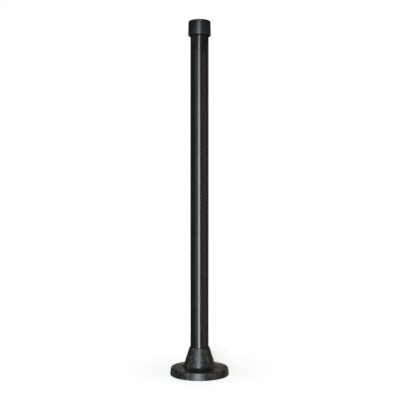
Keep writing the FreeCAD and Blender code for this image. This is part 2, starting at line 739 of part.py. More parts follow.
def cap_screw():
    """A button-head screw with a hexagon socket, down into the head plug."""
    seat = cap_dish_floor + cap_washer_t
    head_r, head_t = cap_screw_head_r, cap_screw_head_t
    dome_r = (head_r ** 2 + head_t ** 2) / (2 * head_t)
    dome = Part.makeSphere(dome_r, V(0, 0, seat + head_t - dome_r))
    head = dome.common(cylinder(head_r, seat, seat + head_t))
    shank = cylinder(cap_screw_r, seat - cap_screw_length, seat + head_t / 4)
    socket = hexagon(cap_screw_socket_r, seat + head_t - cap_screw_socket_depth, seat + head_t + 1)
    return head.fuse(shank).cut(socket).removeSplitter()


NODES = (base_cover, base_plate, base_gasket, guide_tube, guide_gussets, lower_bush, upper_bush,
         wiper_seal, lock_housing, lock_lid, lock_screws, key_turret, lock_bolt, key_spindle,
         key_flap, flap_rivet, post_tube, foot_ring, foot_buffer, foot_plug, head_plug, cap_sleeve,
         landing_ring, cap_shell, cap_washer, cap_screw)


def main():
    os.makedirs("parts", exist_ok=True)
    for make in NODES:
        shape = make()
        solids = shape.Solids
        if not solids or not shape.isValid():
            raise RuntimeError(f"{make.__name__} is not a valid solid")
        shape = solids[0] if len(solids) == 1 else Part.makeCompound(solids)
        shape.exportStep(f"parts/{make.__name__}.step")
        box = shape.BoundBox
        print(f"{make.__name__:14s} {len(solids)} solid(s) {shape.Volume / 1000:8.2f} cm3  "
              f"z {box.ZMin:8.2f} to {box.ZMax:8.2f}")
    print(f"post travel {travel:.2f}  bolt travel {bolt_travel:.4f}  bolt height {bolt_z:.2f}")


main()
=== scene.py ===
# %% [markdown]
# # A bollard that lowers through its own base
#
# The object is a slim black post with a wide cap, standing in a low disc base with a conical
# collar. The whole of it could be modelled here from nothing, but the design file already holds
# every piece at its true size and knows how it moves. So this lesson loads those pieces as a fixed
# frame, models the ones that show again with finer meshes, and gives every piece a finish that is
# made of nodes alone. Lengths are in metres throughout.

# %% Load the frame
import json
import math

import bpy
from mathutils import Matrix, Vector


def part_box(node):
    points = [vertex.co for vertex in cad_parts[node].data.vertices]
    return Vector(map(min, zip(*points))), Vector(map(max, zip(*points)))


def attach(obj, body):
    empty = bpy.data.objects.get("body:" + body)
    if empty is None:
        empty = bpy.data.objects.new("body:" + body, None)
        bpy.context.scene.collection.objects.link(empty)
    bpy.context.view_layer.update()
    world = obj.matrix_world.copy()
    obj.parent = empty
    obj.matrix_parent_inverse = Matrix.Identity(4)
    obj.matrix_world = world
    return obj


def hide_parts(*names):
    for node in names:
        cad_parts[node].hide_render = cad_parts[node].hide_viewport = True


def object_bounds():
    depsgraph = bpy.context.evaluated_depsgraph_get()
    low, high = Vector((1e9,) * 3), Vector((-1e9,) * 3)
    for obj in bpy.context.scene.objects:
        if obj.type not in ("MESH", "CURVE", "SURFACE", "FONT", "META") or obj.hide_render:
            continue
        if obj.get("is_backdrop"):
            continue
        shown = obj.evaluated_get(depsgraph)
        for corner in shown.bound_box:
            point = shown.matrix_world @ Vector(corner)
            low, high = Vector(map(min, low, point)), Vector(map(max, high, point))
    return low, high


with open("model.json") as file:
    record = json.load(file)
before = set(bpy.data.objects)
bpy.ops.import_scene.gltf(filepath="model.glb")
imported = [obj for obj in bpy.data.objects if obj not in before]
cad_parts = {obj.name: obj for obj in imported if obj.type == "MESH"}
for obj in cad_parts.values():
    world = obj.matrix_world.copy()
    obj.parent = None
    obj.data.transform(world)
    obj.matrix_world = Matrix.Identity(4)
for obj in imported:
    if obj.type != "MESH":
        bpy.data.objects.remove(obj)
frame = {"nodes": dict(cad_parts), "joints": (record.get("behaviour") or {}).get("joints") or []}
cad_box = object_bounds()
joints = {joint["name"]: joint for joint in frame["joints"]}
MM = 0.001
print("top of the object:", round(cad_box[1][2] / MM, 1), "mm")

# %% [markdown]
# ## Camera
#
# A camera close to something tall and thin makes its sides lean, and a camera that looks down on
# it makes them meet. A product shot is taken from well back with a longish lens instead. This
# camera is level and halfway up the object, so the post's sides stay parallel, and it sees a
# little of the cap from below and a little of the base from above.

# %% Camera
CAMERA_HEIGHT = 0.573
CAMERA_DISTANCE = 2.42
CAMERA_LENS = 66.15
CAMERA_SIDE = 0.0016

camera_data = bpy.data.cameras.new("camera")
camera_data.lens = CAMERA_LENS
camera = bpy.data.objects.new("camera", camera_data)
camera.location = (CAMERA_SIDE, -CAMERA_DISTANCE, CAMERA_HEIGHT)
camera.rotation_euler = (math.radians(90), 0, 0)
bpy.context.scene.collection.objects.link(camera)
bpy.context.scene.camera = camera
bpy.context.scene.view_settings.view_transform = "Standard"
print("the camera sees", round(CAMERA_DISTANCE * camera_data.sensor_width / CAMERA_LENS, 3),
      "m of height at the post")

# %% [markdown]
# ## Colours
#
# A colour could be given as three linear numbers, but nobody can read those. Here it is written as
# the hex value that a paint chart gives. Hex values are sRGB, and shaders work with linear light,
# so one function turns one into the other.

# %% Colours
def linear(hex_colour):
    """An sRGB hex colour as linear red, green, blue and an alpha of 1."""
    values = [int(hex_colour[i:i + 2], 16) / 255 for i in (1, 3, 5)]
    return [v / 12.92 if v <= 0.04045 else ((v + 0.055) / 1.055) ** 2.4 for v in values] + [1.0]


print("mid-grey #808080 in linear light:", round(linear("#808080")[0], 3))

# %% [markdown]
# ## Nodes
#
# Every finish below is a small tree of nodes. It could be drawn by hand in the shader editor, or
# written as long lists of nodes and links. One function that adds a node with its settings and
# links is enough, and it keeps each finish down to a few lines that read in the order in which the
# values flow.

# %% Nodes
RAMP = "ShaderNodeValToRGB"
NOISE = "ShaderNodeTexNoise"
BUMP = "ShaderNodeBump"
VECTOR = "ShaderNodeVectorMath"
MATHS = "ShaderNodeMath"
MAPPING = "ShaderNodeMapping"


def add(tree, kind, settings=None, stops=(), **inputs):
    """Adds a node and returns its first output. An input given a socket is linked, and any other
    value is set on it. Where a node's inputs share a name they go by number, as _0 and _1."""
    made = tree.nodes.new(kind)
    for name, value in (settings or {}).items():
        setattr(made, name, value)
    for name, value in inputs.items():
        key = int(name[1:]) if name[1:].isdigit() else name.replace("_", " ")
        if isinstance(value, bpy.types.NodeSocket):
            tree.links.new(value, made.inputs[key])
        else:
            made.inputs[key].default_value = value
    for index, (position, value) in enumerate(stops):
        elements = made.color_ramp.elements
        element = elements[index] if index < 2 else elements.new(position)
        element.position = position
        element.color = linear(value) if isinstance(value, str) else (value, value, value, 1)
    return made.outputs[0]


def new_material(name, **sockets):
    """A material, its tree, its Principled shader and its Object coordinates."""
    material = bpy.data.materials.new(name)
    material.use_nodes = True
    tree = material.node_tree
    shader = tree.nodes["Principled BSDF"]
    for socket, value in sockets.items():
        shader.inputs[socket.replace("_", " ")].default_value = value
    place = tree.nodes.new("ShaderNodeTexCoord").outputs["Object"]
    return material, tree, shader, place


def connect(tree, shader, **sockets):
    """Links the end of each chain of nodes to the shader's socket of that name."""
    for socket, value in sockets.items():
        tree.links.new(value, shader.inputs[socket.replace("_", " ")])


def per_size(millimetres):
    """The scale of a noise whose grains are this many millimetres across."""
    return 1 / (millimetres * MM)


def show(made):
    """Prints what a finished material holds."""
    print(made.name, "-", len(made.node_tree.nodes), "nodes")


print("a grain of 2 mm is a noise of scale", round(per_size(2)))

# %% [markdown]
# ## Floor
#
# The bollard stands on a sheet of matt white card. A real one would be a paper roll that curves up
# behind. A flat sheet is simpler, but its far edge would show as a grey line, so here the card
# glows a little more the further it is from the post. It is hidden from reflections, because white
# card mirrored in black paint turns it grey, and it throws no shadow, so that the lamps may reach
# below it.

# %% Floor
FLOOR_SIZE = 16.0
FLOOR_DROP = 0.2 * MM

bpy.ops.object.select_all(action="DESELECT")
bpy.ops.mesh.primitive_plane_add(size=FLOOR_SIZE, location=(0, 0, -FLOOR_DROP))
floor = bpy.context.object
floor.name = "floor"
# matt white card: pure white to the eye, with a soft shadow round the base and no edge
card, tree, shader, place = new_material(
    "matt white card", Base_Color=linear("#f2f2f0"), Roughness=0.9,
    Emission_Color=linear("#ffffff"))
reach = add(tree, VECTOR, {"operation": "LENGTH"}, _0=place).node.outputs["Value"]
glow = add(tree, RAMP, stops=[(0.1, 0.60), (1.0, 1.0)], Fac=reach)
connect(tree, shader, Emission_Strength=glow)
floor.data.materials.append(card)
floor.visible_glossy = False
floor.visible_shadow = False
floor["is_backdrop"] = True
show(card)

# %% [markdown]
# ## Background
#
# The background is white paper. If the whole world were white, the black pieces would mirror it on
# every side and lose their depth. A white backdrop far behind would do, but it would show from one
# side only. So the camera itself sees white in every direction, while all other rays find a dim
# room.

# %% Background
world = bpy.data.worlds.new("studio")
bpy.context.scene.world = world
world.use_nodes = True
tree = world.node_tree
light_path = tree.nodes.new("ShaderNodeLightPath")
dim_room = add(tree, "ShaderNodeBackground", Color=linear("#8d8b86"), Strength=0.2)
white_paper = add(tree, "ShaderNodeBackground", Color=linear("#ffffff"), Strength=1.0)
chosen = add(tree, "ShaderNodeMixShader", Fac=light_path.outputs["Is Camera Ray"],
             _1=dim_room, _2=white_paper)
tree.links.new(chosen, tree.nodes["World Output"].inputs["Surface"])
print(world.name, "-", len(tree.nodes), "nodes")

# %% [markdown]
# ## Lights
#
# A black cylinder doesn't show light so much as it shows its lamps, as upright lines. A few round
# bulbs would give broken dots, and one huge soft box would grey the post all over. So the lamps are
# tall panels. One beside the camera draws the bright line down the middle of the post, two weaker
# ones shade it off to the left, and a broad warm one lifts the right. The ones behind and overhead
# serve the other sides. They reach below the floor, because a viewer who looks down on the post
# sees in it what lies lower than the post.

# %% Lights
def panel(name, angle, distance, low, high, width, brightness, colour):
    """A tall soft lamp that faces the post: its angle is 0 in front and grows to the right."""
    data = bpy.data.lights.new(name, "AREA")
    data.shape = "RECTANGLE"
    data.size = width
    data.size_y = high - low
    data.energy = brightness * math.pi * width * (high - low)
    data.color = linear(colour)[:3]
    lamp = bpy.data.objects.new(name, data)
    turn_by = math.radians(angle)
    lamp.location = (math.sin(turn_by) * distance, -math.cos(turn_by) * distance, (low + high) / 2)
    lamp.rotation_euler = (math.radians(90), 0, turn_by)
    lamp.visible_camera = False
    bpy.context.scene.collection.objects.link(lamp)
    print(name, round(data.energy, 1), "W")
    return lamp


FRONT_DISTANCE = 2.45
BACK_DISTANCE = 2.6
TOP_LAMP_SIDE = 1.2
TOP_LAMP_HEIGHT = 2.6

# name, angle, distance, low, high, width, brightness, colour
panel("line_lamp", -5.5, FRONT_DISTANCE, -1.3, 1.3, 0.80, 13.0, "#e8f5ff")
panel("high_line_lamp", -5.5, FRONT_DISTANCE, 1.3, 2.6, 0.80, 7.4, "#e8f5ff")
panel("shade_lamp", -31, FRONT_DISTANCE, -1.3, 1.6, 0.70, 1.5, "#dce6ff")
panel("far_shade_lamp", -52, FRONT_DISTANCE, -1.3, 1.6, 0.80, 0.40, "#dce6ff")
panel("warm_lamp", 62, FRONT_DISTANCE, -1.3, 1.6, 3.40, 0.40, "#ffdcb8")
panel("back_lamp", 180, BACK_DISTANCE, 0.2, 1.8, 0.30, 2.0, "#fff4e6")
panel("back_low_lamp", 180, BACK_DISTANCE, -1.6, -0.05, 0.45, 7.0, "#f4f6ff")
panel("back_side_lamp", 140, BACK_DISTANCE, -1.3, 1.8, 0.60, 0.7, "#fff1e0")
# the top lamp is one more panel, laid flat over the object so that it faces down
top_lamp = panel("top_lamp", 0, 0.2, TOP_LAMP_HEIGHT - TOP_LAMP_SIDE / 2,
                 TOP_LAMP_HEIGHT + TOP_LAMP_SIDE / 2, TOP_LAMP_SIDE, 0.8, "#fff0dc")
top_lamp.rotation_euler = (0, 0, 0)

# %% [markdown]
# ## Selecting
#
# An operator works on whatever is selected. By hand that is a click, and a script could count
# vertices instead, but the numbers change with every edit. A test on where a corner lies stays
# true, so corners and edges are picked by place.

# %% Selecting
TINY = 1e-6


def only(piece):
    """Object mode, with one piece selected and active and nothing else."""
    if bpy.context.object and bpy.context.object.mode != "OBJECT":
        bpy.ops.object.mode_set(mode="OBJECT")
    bpy.ops.object.select_all(action="DESELECT")
    if piece:
        piece.select_set(True)
        bpy.context.view_layer.objects.active = piece


def settle():
    """Puts the selected piece's place, turn and scale into its mesh, and returns the piece."""
    bpy.ops.object.transform_apply(location=True, rotation=True, scale=True)
    return bpy.context.object


def pick(piece, kind, test):
    """In edit mode, selects the vertices, or the edges between vertices, that pass a test."""
    bpy.ops.mesh.select_mode(type=kind)
    bpy.ops.mesh.select_all(action="DESELECT")
    bpy.ops.object.mode_set(mode="OBJECT")
    mesh = piece.data
    if kind == "VERT":
        for vertex in mesh.vertices:
            vertex.select = test(vertex.co)
    else:
        for edge in mesh.edges:
            edge.select = all(test(mesh.vertices[end].co) for end in edge.vertices)
    bpy.ops.object.mode_set(mode="EDIT")


print("places closer than", TINY / MM, "mm count as one")

# %% [markdown]
# ## Turning
#
# Most of this object was turned on a lathe, moulded in a turned die, or drawn as a tube. Such a
# piece could be stacked from cylinders and cones, but then its wall would be solid and its corners
# sharp. Half a section, drawn once and spun about the axis, gives the inside, the outside and
# every rounding together. Its corners are placed one by one with extrude, a vertex bevel rounds
# those that are rounded on the real piece, and spin does what the lathe did.

# %% Turning
SPIN_STEPS = 160
CORNER_SEGMENTS = 5


def rounding_leg(corners, index):
    """How far along its two sides the rounding of a section's corner starts."""
    points = [Vector(corner[:2]) for corner in corners]
    here, before, after = points[index], points[index - 1], points[(index + 1) % len(points)]
    return corners[index][2] / math.tan((before - here).angle(after - here) / 2)


def turn(name, corners, steps=SPIN_STEPS, segments=CORNER_SEGMENTS, x=0.0, y=0.0):
    """Spins a closed section of (radius, height) or (radius, height, rounding) corners."""
    only(None)
    points = [Vector((corner[0], 0, corner[1])) for corner in corners]
    bpy.ops.mesh.primitive_plane_add(size=MM, location=(0, 0, 0))
    piece = bpy.context.object
    piece.name = name
    bpy.ops.object.mode_set(mode="EDIT")
    bpy.ops.mesh.select_mode(type="VERT")
    bpy.ops.mesh.select_all(action="SELECT")
    bpy.ops.mesh.merge(type="CENTER")
    bpy.ops.transform.translate(value=points[0])
    for before, after in zip(points, points[1:]):
        bpy.ops.mesh.extrude_vertices_move(TRANSFORM_OT_translate={"value": after - before})
    bpy.ops.mesh.select_all(action="SELECT")
    bpy.ops.mesh.edge_face_add()
    for index, corner in enumerate(corners):
        if len(corner) > 2:
            pick(piece, "VERT", lambda co: (co - points[index]).length < TINY)
            bpy.ops.mesh.bevel(offset=rounding_leg(corners, index), segments=segments,
                               affect="VERTICES")
    bpy.ops.mesh.select_mode(type="FACE")
    bpy.ops.mesh.select_all(action="SELECT")
    bpy.ops.mesh.delete(type="ONLY_FACE")
    bpy.ops.mesh.select_mode(type="VERT")
    bpy.ops.mesh.select_all(action="SELECT")
    bpy.ops.mesh.spin(steps=steps, angle=2 * math.pi, center=(0, 0, 0), axis=(0, 0, 1))
    bpy.ops.mesh.select_all(action="SELECT")
    bpy.ops.mesh.remove_doubles(threshold=TINY)
    bpy.ops.mesh.normals_make_consistent(inside=False)
    bpy.ops.transform.translate(value=(x, y, 0))
    only(piece)
    return piece


print("a piece is spun in", SPIN_STEPS, "steps of", 360 / SPIN_STEPS, "degrees")

# %% [markdown]
# ## Cutting, joining and finishing
#
# A hole could be left in the mesh by deleting faces, but a drilled hole in a curved wall has a
# curved edge. A boolean cut finds that edge exactly, so holes are cut with a cylinder, as a drill
# does it. At the end each piece is shaded smooth except at real edges, gets its finish, is told
# which body it moves with, and the piece of the design that it stands for is hidden.

# %% Cutting, joining and finishing
# a cut leaves slivers where it passes close to a corner, and they are merged away
SLIVER = 5e-6
# faces that meet at less than this many degrees are shaded as one smooth surface
SMOOTH_TO = 32
SMALL_STEPS = 64


def join(first, *others):
    """Makes several pieces one mesh."""
    only(first)
    for other in others:
        other.select_set(True)
    bpy.ops.object.join()
    return first


def carve(piece, cutter, operation="DIFFERENCE"):
    """Cuts one piece with another, or adds it on, and throws the other away."""
    only(piece)
    modifier = piece.modifiers.new("carve", "BOOLEAN")
    modifier.object = cutter
    modifier.operation = operation
    modifier.solver = "EXACT"
    bpy.ops.object.modifier_apply(modifier=modifier.name)
    bpy.data.objects.remove(cutter)
    bpy.ops.object.mode_set(mode="EDIT")
    bpy.ops.mesh.select_all(action="SELECT")
    bpy.ops.mesh.remove_doubles(threshold=SLIVER)
    bpy.ops.mesh.dissolve_degenerate(threshold=SLIVER)
    only(piece)


def drum(radius, low, high, x=0.0, y=0.0, sides=SMALL_STEPS):
    """An upright cylinder, to cut with or to build on."""
    only(None)
    bpy.ops.mesh.primitive_cylinder_add(vertices=sides, radius=radius, depth=high - low,
                                        location=(x, y, (low + high) / 2))
    return settle()


def finish(piece, material, body, node):
    """Smooth shading up to an angle, then the piece's finish and its place in the frame."""
    only(piece)
    bpy.ops.object.shade_smooth_by_angle(angle=math.radians(SMOOTH_TO))
    piece.data.materials.clear()
    piece.data.materials.append(material)
    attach(piece, body)
    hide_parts(node)
    print(piece.name, len(piece.data.polygons), "faces")


def outer_radius(node):
    """A round node's outer radius, for a node on the post's axis."""
    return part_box(node)[1][0]


def low_high(node):
    """A node's lowest and highest height."""
    low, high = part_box(node)
    return low[2], high[2]


print("the post is", round(2 * outer_radius("post_tube") / MM, 1), "mm across")

# %% [markdown]
# ## Powder-coated steel
#
# The post is mild steel tube with a black powder coat. The powder melts into a film that is nearly
# smooth, with a faint orange peel, so it shines in a tight bright line, and handling leaves it a
# little duller in patches. One flat black with one roughness would look like drawn plastic. Two
# slow noises change the roughness along the tube instead, the way hands and sleeves rub it, and a
# weak bump gives the orange peel.

# %% Powder coat
# gives the eye: deep black, a crisp upright highlight, and slow changes in how sharp it is
powder_coat, tree, shader, place = new_material("black powder coat on steel", IOR=1.5)
patches = add(tree, NOISE, Vector=place, Scale=per_size(70), Detail=3.0, Roughness=0.6)
lengthways = add(tree, MAPPING, Vector=place, Scale=(1, 1, 0.05))
rubs = add(tree, NOISE, Vector=lengthways, Scale=per_size(7), Detail=3.0)
tint = add(tree, RAMP, stops=[(0.35, "#0f0f0e"), (0.65, "#141311")], Fac=patches)
worn = add(tree, MATHS, {"operation": "MULTIPLY"}, _0=patches, _1=rubs)
gloss = add(tree, RAMP, stops=[(0.12, 0.19), (0.42, 0.24)], Fac=worn)
# orange peel is 1 to 3 mm across on a coat like this
peel = add(tree, NOISE, Vector=place, Scale=per_size(3), Detail=0.0)
relief = add(tree, BUMP, Height=peel, Strength=0.035, Distance=0.02 * MM)
connect(tree, shader, Base_Color=tint, Roughness=gloss, Normal=relief)
show(powder_coat)

# %% [markdown]
# ## The post
#
# One plain tube, open at both ends, with two holes for the lock's bolt at the back. The lower one
# is inside the base, and the upper one shows a hand's width under the cap until the post goes down.
# A cylinder with a Solidify modifier would make the tube, but spinning its section gives the
# rounded ends as well. Each hole is cut with a short cylinder on its side. The long faces are first
# bisected above and below each hole, because a cut in a face a metre long would upset its shading
# all the way down.

# %% Post
POST_WALL = 2 * MM
POST_EDGE_ROUND = 0.3 * MM
POST_HOLE_R = 4.75 * MM
POST_HOLE_MARGIN = 7 * MM
POST_STEPS = 144
POST_HOLE_SIDES = 48
EDGE_SEGMENTS = 2

post_r = outer_radius("post_tube")
post_foot, post_top = low_high("post_tube")
bolt_low, bolt_high = low_high("lock_bolt")
travel = -joints["post_slide"]["range_m"][0]
hole_heights = [(bolt_low + bolt_high) / 2, (bolt_low + bolt_high) / 2 + travel]

post = turn("post", [(post_r, post_foot, POST_EDGE_ROUND), (post_r, post_top, POST_EDGE_ROUND),
                     (post_r - POST_WALL, post_top), (post_r - POST_WALL, post_foot)],
            steps=POST_STEPS, segments=EDGE_SEGMENTS)
bpy.ops.object.mode_set(mode="EDIT")
for height in hole_heights:
    for cut in (height - POST_HOLE_MARGIN, height + POST_HOLE_MARGIN):
        bpy.ops.mesh.select_all(action="SELECT")
        bpy.ops.mesh.bisect(plane_co=(0, 0, cut), plane_no=(0, 0, 1))
only(post)
for height in hole_heights:
    only(None)
    bpy.ops.mesh.primitive_cylinder_add(vertices=POST_HOLE_SIDES, radius=POST_HOLE_R, depth=post_r,
                                        location=(0, post_r, height),
                                        rotation=(math.radians(90), 0, 0))
    carve(post, settle())
finish(post, powder_coat, "post", "post_tube")
print("holes at", [round(height / MM, 1) for height in hole_heights], "mm")

# %% [markdown]
# ## Moulded cap plastic
#
# The cap is moulded in a tough black plastic. The die is lightly spark-eroded, which leaves a fine
# even grain: the shine is broader and duller than on the post. A higher roughness alone would give
# the broad shine, but a slow cloud in it and a fine bump keep the surface from looking airbrushed.

# %% Cap plastic
# gives the eye: a soft grey sheen with no sharp edge, and a very fine sparkle in it
cap_plastic, tree, shader, place = new_material("black moulded polypropylene", IOR=1.49)
cloud = add(tree, NOISE, Vector=place, Scale=per_size(25), Detail=3.0)
tint = add(tree, RAMP, stops=[(0.3, "#0e0e0d"), (0.7, "#131211")], Fac=cloud)
gloss = add(tree, RAMP, stops=[(0.3, 0.33), (0.7, 0.42)], Fac=cloud)
# the spark-eroded grain is 0.1 mm across, and it is drawn coarser so that it shows
grain = add(tree, NOISE, Vector=place, Scale=per_size(0.9), Detail=3.0)
relief = add(tree, BUMP, Height=grain, Strength=0.25, Distance=0.02 * MM)
connect(tree, shader, Base_Color=tint, Roughness=gloss, Normal=relief)
show(cap_plastic)

# %% [markdown]
# ## The cap
#
# The cap pushes over the post's end on a ribbed sleeve, and one screw in a shallow dish holds it
# down. It has a skirt with a slight draft, a rounded top edge, a low crown, and a lip whose two
# edges are rounded so that they don't cut the hand that lifts it. A cylinder could be bevelled and
# hollowed out, but its draft, crown and boss would each need another step. Its whole section is
# spun in one go instead, inside and outside together, and the crown is a few corners on a curve.

# %% Cap
CAP_DRAFT = 1.2 * MM
CAP_WALL = 2.8 * MM
CAP_CROWN = 2.0 * MM
CAP_ROOF = 6.0 * MM
CAP_EDGE_ROUND = 3.6 * MM
CAP_LIP_ROUND = 1.2 * MM
CAP_INNER_ROUND = 1.5 * MM
CAP_BOSS_R = 10.0 * MM
CAP_DISH_R = 8.0 * MM
CAP_DISH_DEPTH = 3.4 * MM
CAP_DISH_ROUND = 0.5 * MM
CAP_BORE_R = 3.3 * MM
CROWN_SHARES = (0.85, 0.7, 0.55, 0.4, 0.3)

cap_low = low_high("cap_shell")[0]
cap_r = outer_radius("cap_shell")
cap_top_r = cap_r - CAP_DRAFT
boss_low = low_high("cap_sleeve")[1]
dish_floor = low_high("cap_washer")[0]
crown_top = dish_floor + CAP_DISH_DEPTH


def crown_height(radius):
    """Height of the cap's crown at a radius."""
    return crown_top - CAP_CROWN * (radius / cap_top_r) ** 2


cap = turn("cap", [
    (CAP_BORE_R, boss_low),
    (CAP_BOSS_R, boss_low),
    (CAP_BOSS_R, crown_top - CAP_ROOF),
    (cap_top_r - CAP_WALL, crown_top - CAP_ROOF, CAP_INNER_ROUND),
    (cap_r - CAP_WALL, cap_low, CAP_LIP_ROUND),
    (cap_r, cap_low, CAP_LIP_ROUND),
    (cap_top_r, crown_height(cap_top_r), CAP_EDGE_ROUND),
    *[(share * cap_top_r, crown_height(share * cap_top_r)) for share in CROWN_SHARES],
    (CAP_DISH_R, crown_height(CAP_DISH_R), CAP_DISH_ROUND),
    (CAP_DISH_R, dish_floor, CAP_DISH_ROUND),
    (CAP_BORE_R, dish_floor),
])
finish(cap, cap_plastic, "post", "cap_shell")
print("cap from", round(cap_low / MM, 1), "to", round(crown_top / MM, 1), "mm")

# %% [markdown]
# ## Black zinc plate
#
# The cap's screw and washer are steel, zinc plated and then blackened. The plating is thin and
# close to satin, and it stays a metal to the eye: its highlights are grey, not white. Black paint
# would be the simpler finish, but its highlights are white, so this one is a dark metal.

# %% Black zinc
# gives the eye: a dark metallic satin that catches light on its edges
black_zinc, tree, shader, place = new_material("black zinc plate", Metallic=1.0)
cloud = add(tree, NOISE, Vector=place, Scale=per_size(2), Detail=2.0)
tint = add(tree, RAMP, stops=[(0.3, "#2c2c2e"), (0.7, "#38383a")], Fac=cloud)
gloss = add(tree, RAMP, stops=[(0.3, 0.34), (0.7, 0.44)], Fac=cloud)
connect(tree, shader, Base_Color=tint, Roughness=gloss)
show(black_zinc)

# %% [markdown]
# ## Cap screw and washer
#
# A button-head screw sits on a flat washer at the bottom of the dish. The head could be half of a
# UV sphere, but the sphere's pole would meet the socket badly. Both are turned sections instead,
# with the head's dome as a few corners on a circle, and the socket is a hexagon cut down into it.

# %% Cap screw and washer
WASHER_BORE_R = 3.3 * MM
WASHER_EDGE = 0.2 * MM
SCREW_SHANK_R = 3.0 * MM
SCREW_HEAD_R = 5.25 * MM
SCREW_DOME_START = 0.7 * MM
SCREW_SOCKET_R = 1.9 * MM
SCREW_SOCKET_DEPTH = 1.3 * MM
HEAD_ANGLES = (0, 15, 30, 45, 60, 75)

washer_low, washer_high = low_high("cap_washer")
washer_r = outer_radius("cap_washer")
washer = turn("cap_washer_turned", [
    (WASHER_BORE_R, washer_low), (washer_r, washer_low, WASHER_EDGE),
    (washer_r, washer_high, WASHER_EDGE), (WASHER_BORE_R, washer_high)],
    steps=SMALL_STEPS, segments=EDGE_SEGMENTS)
finish(washer, black_zinc, "post", "cap_washer")

screw_low, screw_high = low_high("cap_screw")
dome_foot = washer_high + SCREW_DOME_START
dome_corners = [(SCREW_HEAD_R * math.cos(math.radians(a)),
                 dome_foot + (screw_high - dome_foot) * math.sin(math.radians(a)))
                for a in HEAD_ANGLES]
screw = turn("cap_screw_turned", [
    (0, screw_low), (SCREW_SHANK_R, screw_low), (SCREW_SHANK_R, washer_high),
    (SCREW_HEAD_R, washer_high), *dome_corners, (0, screw_high)], steps=SMALL_STEPS)
carve(screw, drum(SCREW_SOCKET_R, screw_high - SCREW_SOCKET_DEPTH, screw_high + MM, sides=6))
finish(screw, black_zinc, "post", "cap_screw")

# %% [markdown]
# ## Glass-filled nylon
#
# The cover takes knocks, so it is moulded in nylon with glass fibre. The fibres come to the
# surface as the melt runs up the collar and out over the dome, and leave dull grey streaks along
# the flow. Scuffs and street dust make the same streaks paler. Plain noise would give blotches that
# ignore the flow, and a painted picture would need to be unwrapped. So the pattern is a noise that
# follows the flow: the direction from the axis is scaled to a fixed radius, and so a streak keeps
# its angle all the way from the collar to the rim.

# %% Cover plastic
# gives the eye: rough black with no clear highlight, and grey streaks up the cone and out
STREAK_RADIUS = 60 * MM
STREAK_DRIFT = 0.12
cover_plastic, tree, shader, place = new_material("black glass-filled nylon", IOR=1.53)
outwards = add(tree, VECTOR, {"operation": "MULTIPLY"}, _0=place, _1=(1, 1, 0))
outwards = add(tree, VECTOR, {"operation": "NORMALIZE"}, _0=outwards)
outwards = add(tree, VECTOR, {"operation": "MULTIPLY"}, _0=outwards, _1=(STREAK_RADIUS,) * 3)
slow_place = add(tree, VECTOR, {"operation": "MULTIPLY"}, _0=place, _1=(STREAK_DRIFT,) * 3)
flow = add(tree, VECTOR, {"operation": "ADD"}, _0=outwards, _1=slow_place)
streaks = add(tree, NOISE, Vector=flow, Scale=per_size(6), Detail=5.0, Roughness=0.7)
scuffs = add(tree, NOISE, Vector=place, Scale=per_size(12), Detail=6.0, Roughness=0.7)
both = add(tree, MATHS, {"operation": "MULTIPLY"}, _0=streaks, _1=scuffs)
tint = add(tree, RAMP, stops=[(0.17, "#0f0e0d"), (0.25, "#181715"), (0.35, "#403e38")], Fac=both)
gloss = add(tree, RAMP, stops=[(0.17, 0.27), (0.35, 0.50)], Fac=both)
# the moulded skin is a 0.3 mm grain, drawn at 1.2 mm so that it shows, over the raised streaks
skin = add(tree, NOISE, Vector=place, Scale=per_size(1.2), Detail=3.0)
relief = add(tree, BUMP, Height=skin, Strength=0.5, Distance=0.05 * MM)
relief = add(tree, BUMP, Height=streaks, Strength=0.35, Distance=0.12 * MM, Normal=relief)
connect(tree, shader, Base_Color=tint, Roughness=gloss, Normal=relief)
show(cover_plastic)

# %% [markdown]
# ## The cover
#
# The cover is one moulding: a drafted rim, a low dome, a conical collar and a thin lip that almost
# meets the post. Rim, dome and cone could be three pieces joined together, but then the smooth
# sweep where the cone runs out into the dome would be lost. Its section is spun as one closed wall,
# with a large rounding at the cone's foot.

# %% Cover shell
COVER_WALL = 3.0 * MM
COVER_BELLY_IN = 0.4 * MM
COVER_RIM_IN = 3.1 * MM
COVER_RIM_Z = 24.0 * MM
CONE_FOOT_R = 53.4 * MM
CONE_FOOT_Z = 26.5 * MM
CONE_FILLET = 9.0 * MM
COVER_SEGMENTS = 8
COLLAR_LIP_DEPTH = 11.0 * MM
COLLAR_LIP_GAP = 0.8 * MM
COLLAR_LIP_WALL = 1.9 * MM
COLLAR_LIP_CHAMFER = 0.6 * MM
FOOT_ROUND = 0.8 * MM
BELLY_ROUND = 25.0 * MM
RIM_ROUND = 2.6 * MM
RIM_INNER_ROUND = 1.9 * MM
COLLAR_ROUND = 1.0 * MM

cover_r = outer_radius("base_cover")
collar_top = low_high("base_cover")[1]
lip_r = post_r + COLLAR_LIP_GAP
collar_r = lip_r + COLLAR_LIP_WALL
rim_r = cover_r - COVER_RIM_IN
lip_low = collar_top - COLLAR_LIP_DEPTH
ceiling = CONE_FOOT_Z - COVER_WALL


def cone_radius(height):
    """Outer radius of the conical collar at a height."""
    share = (height - CONE_FOOT_Z) / (collar_top - CONE_FOOT_Z)
    return CONE_FOOT_R + (collar_r - CONE_FOOT_R) * share


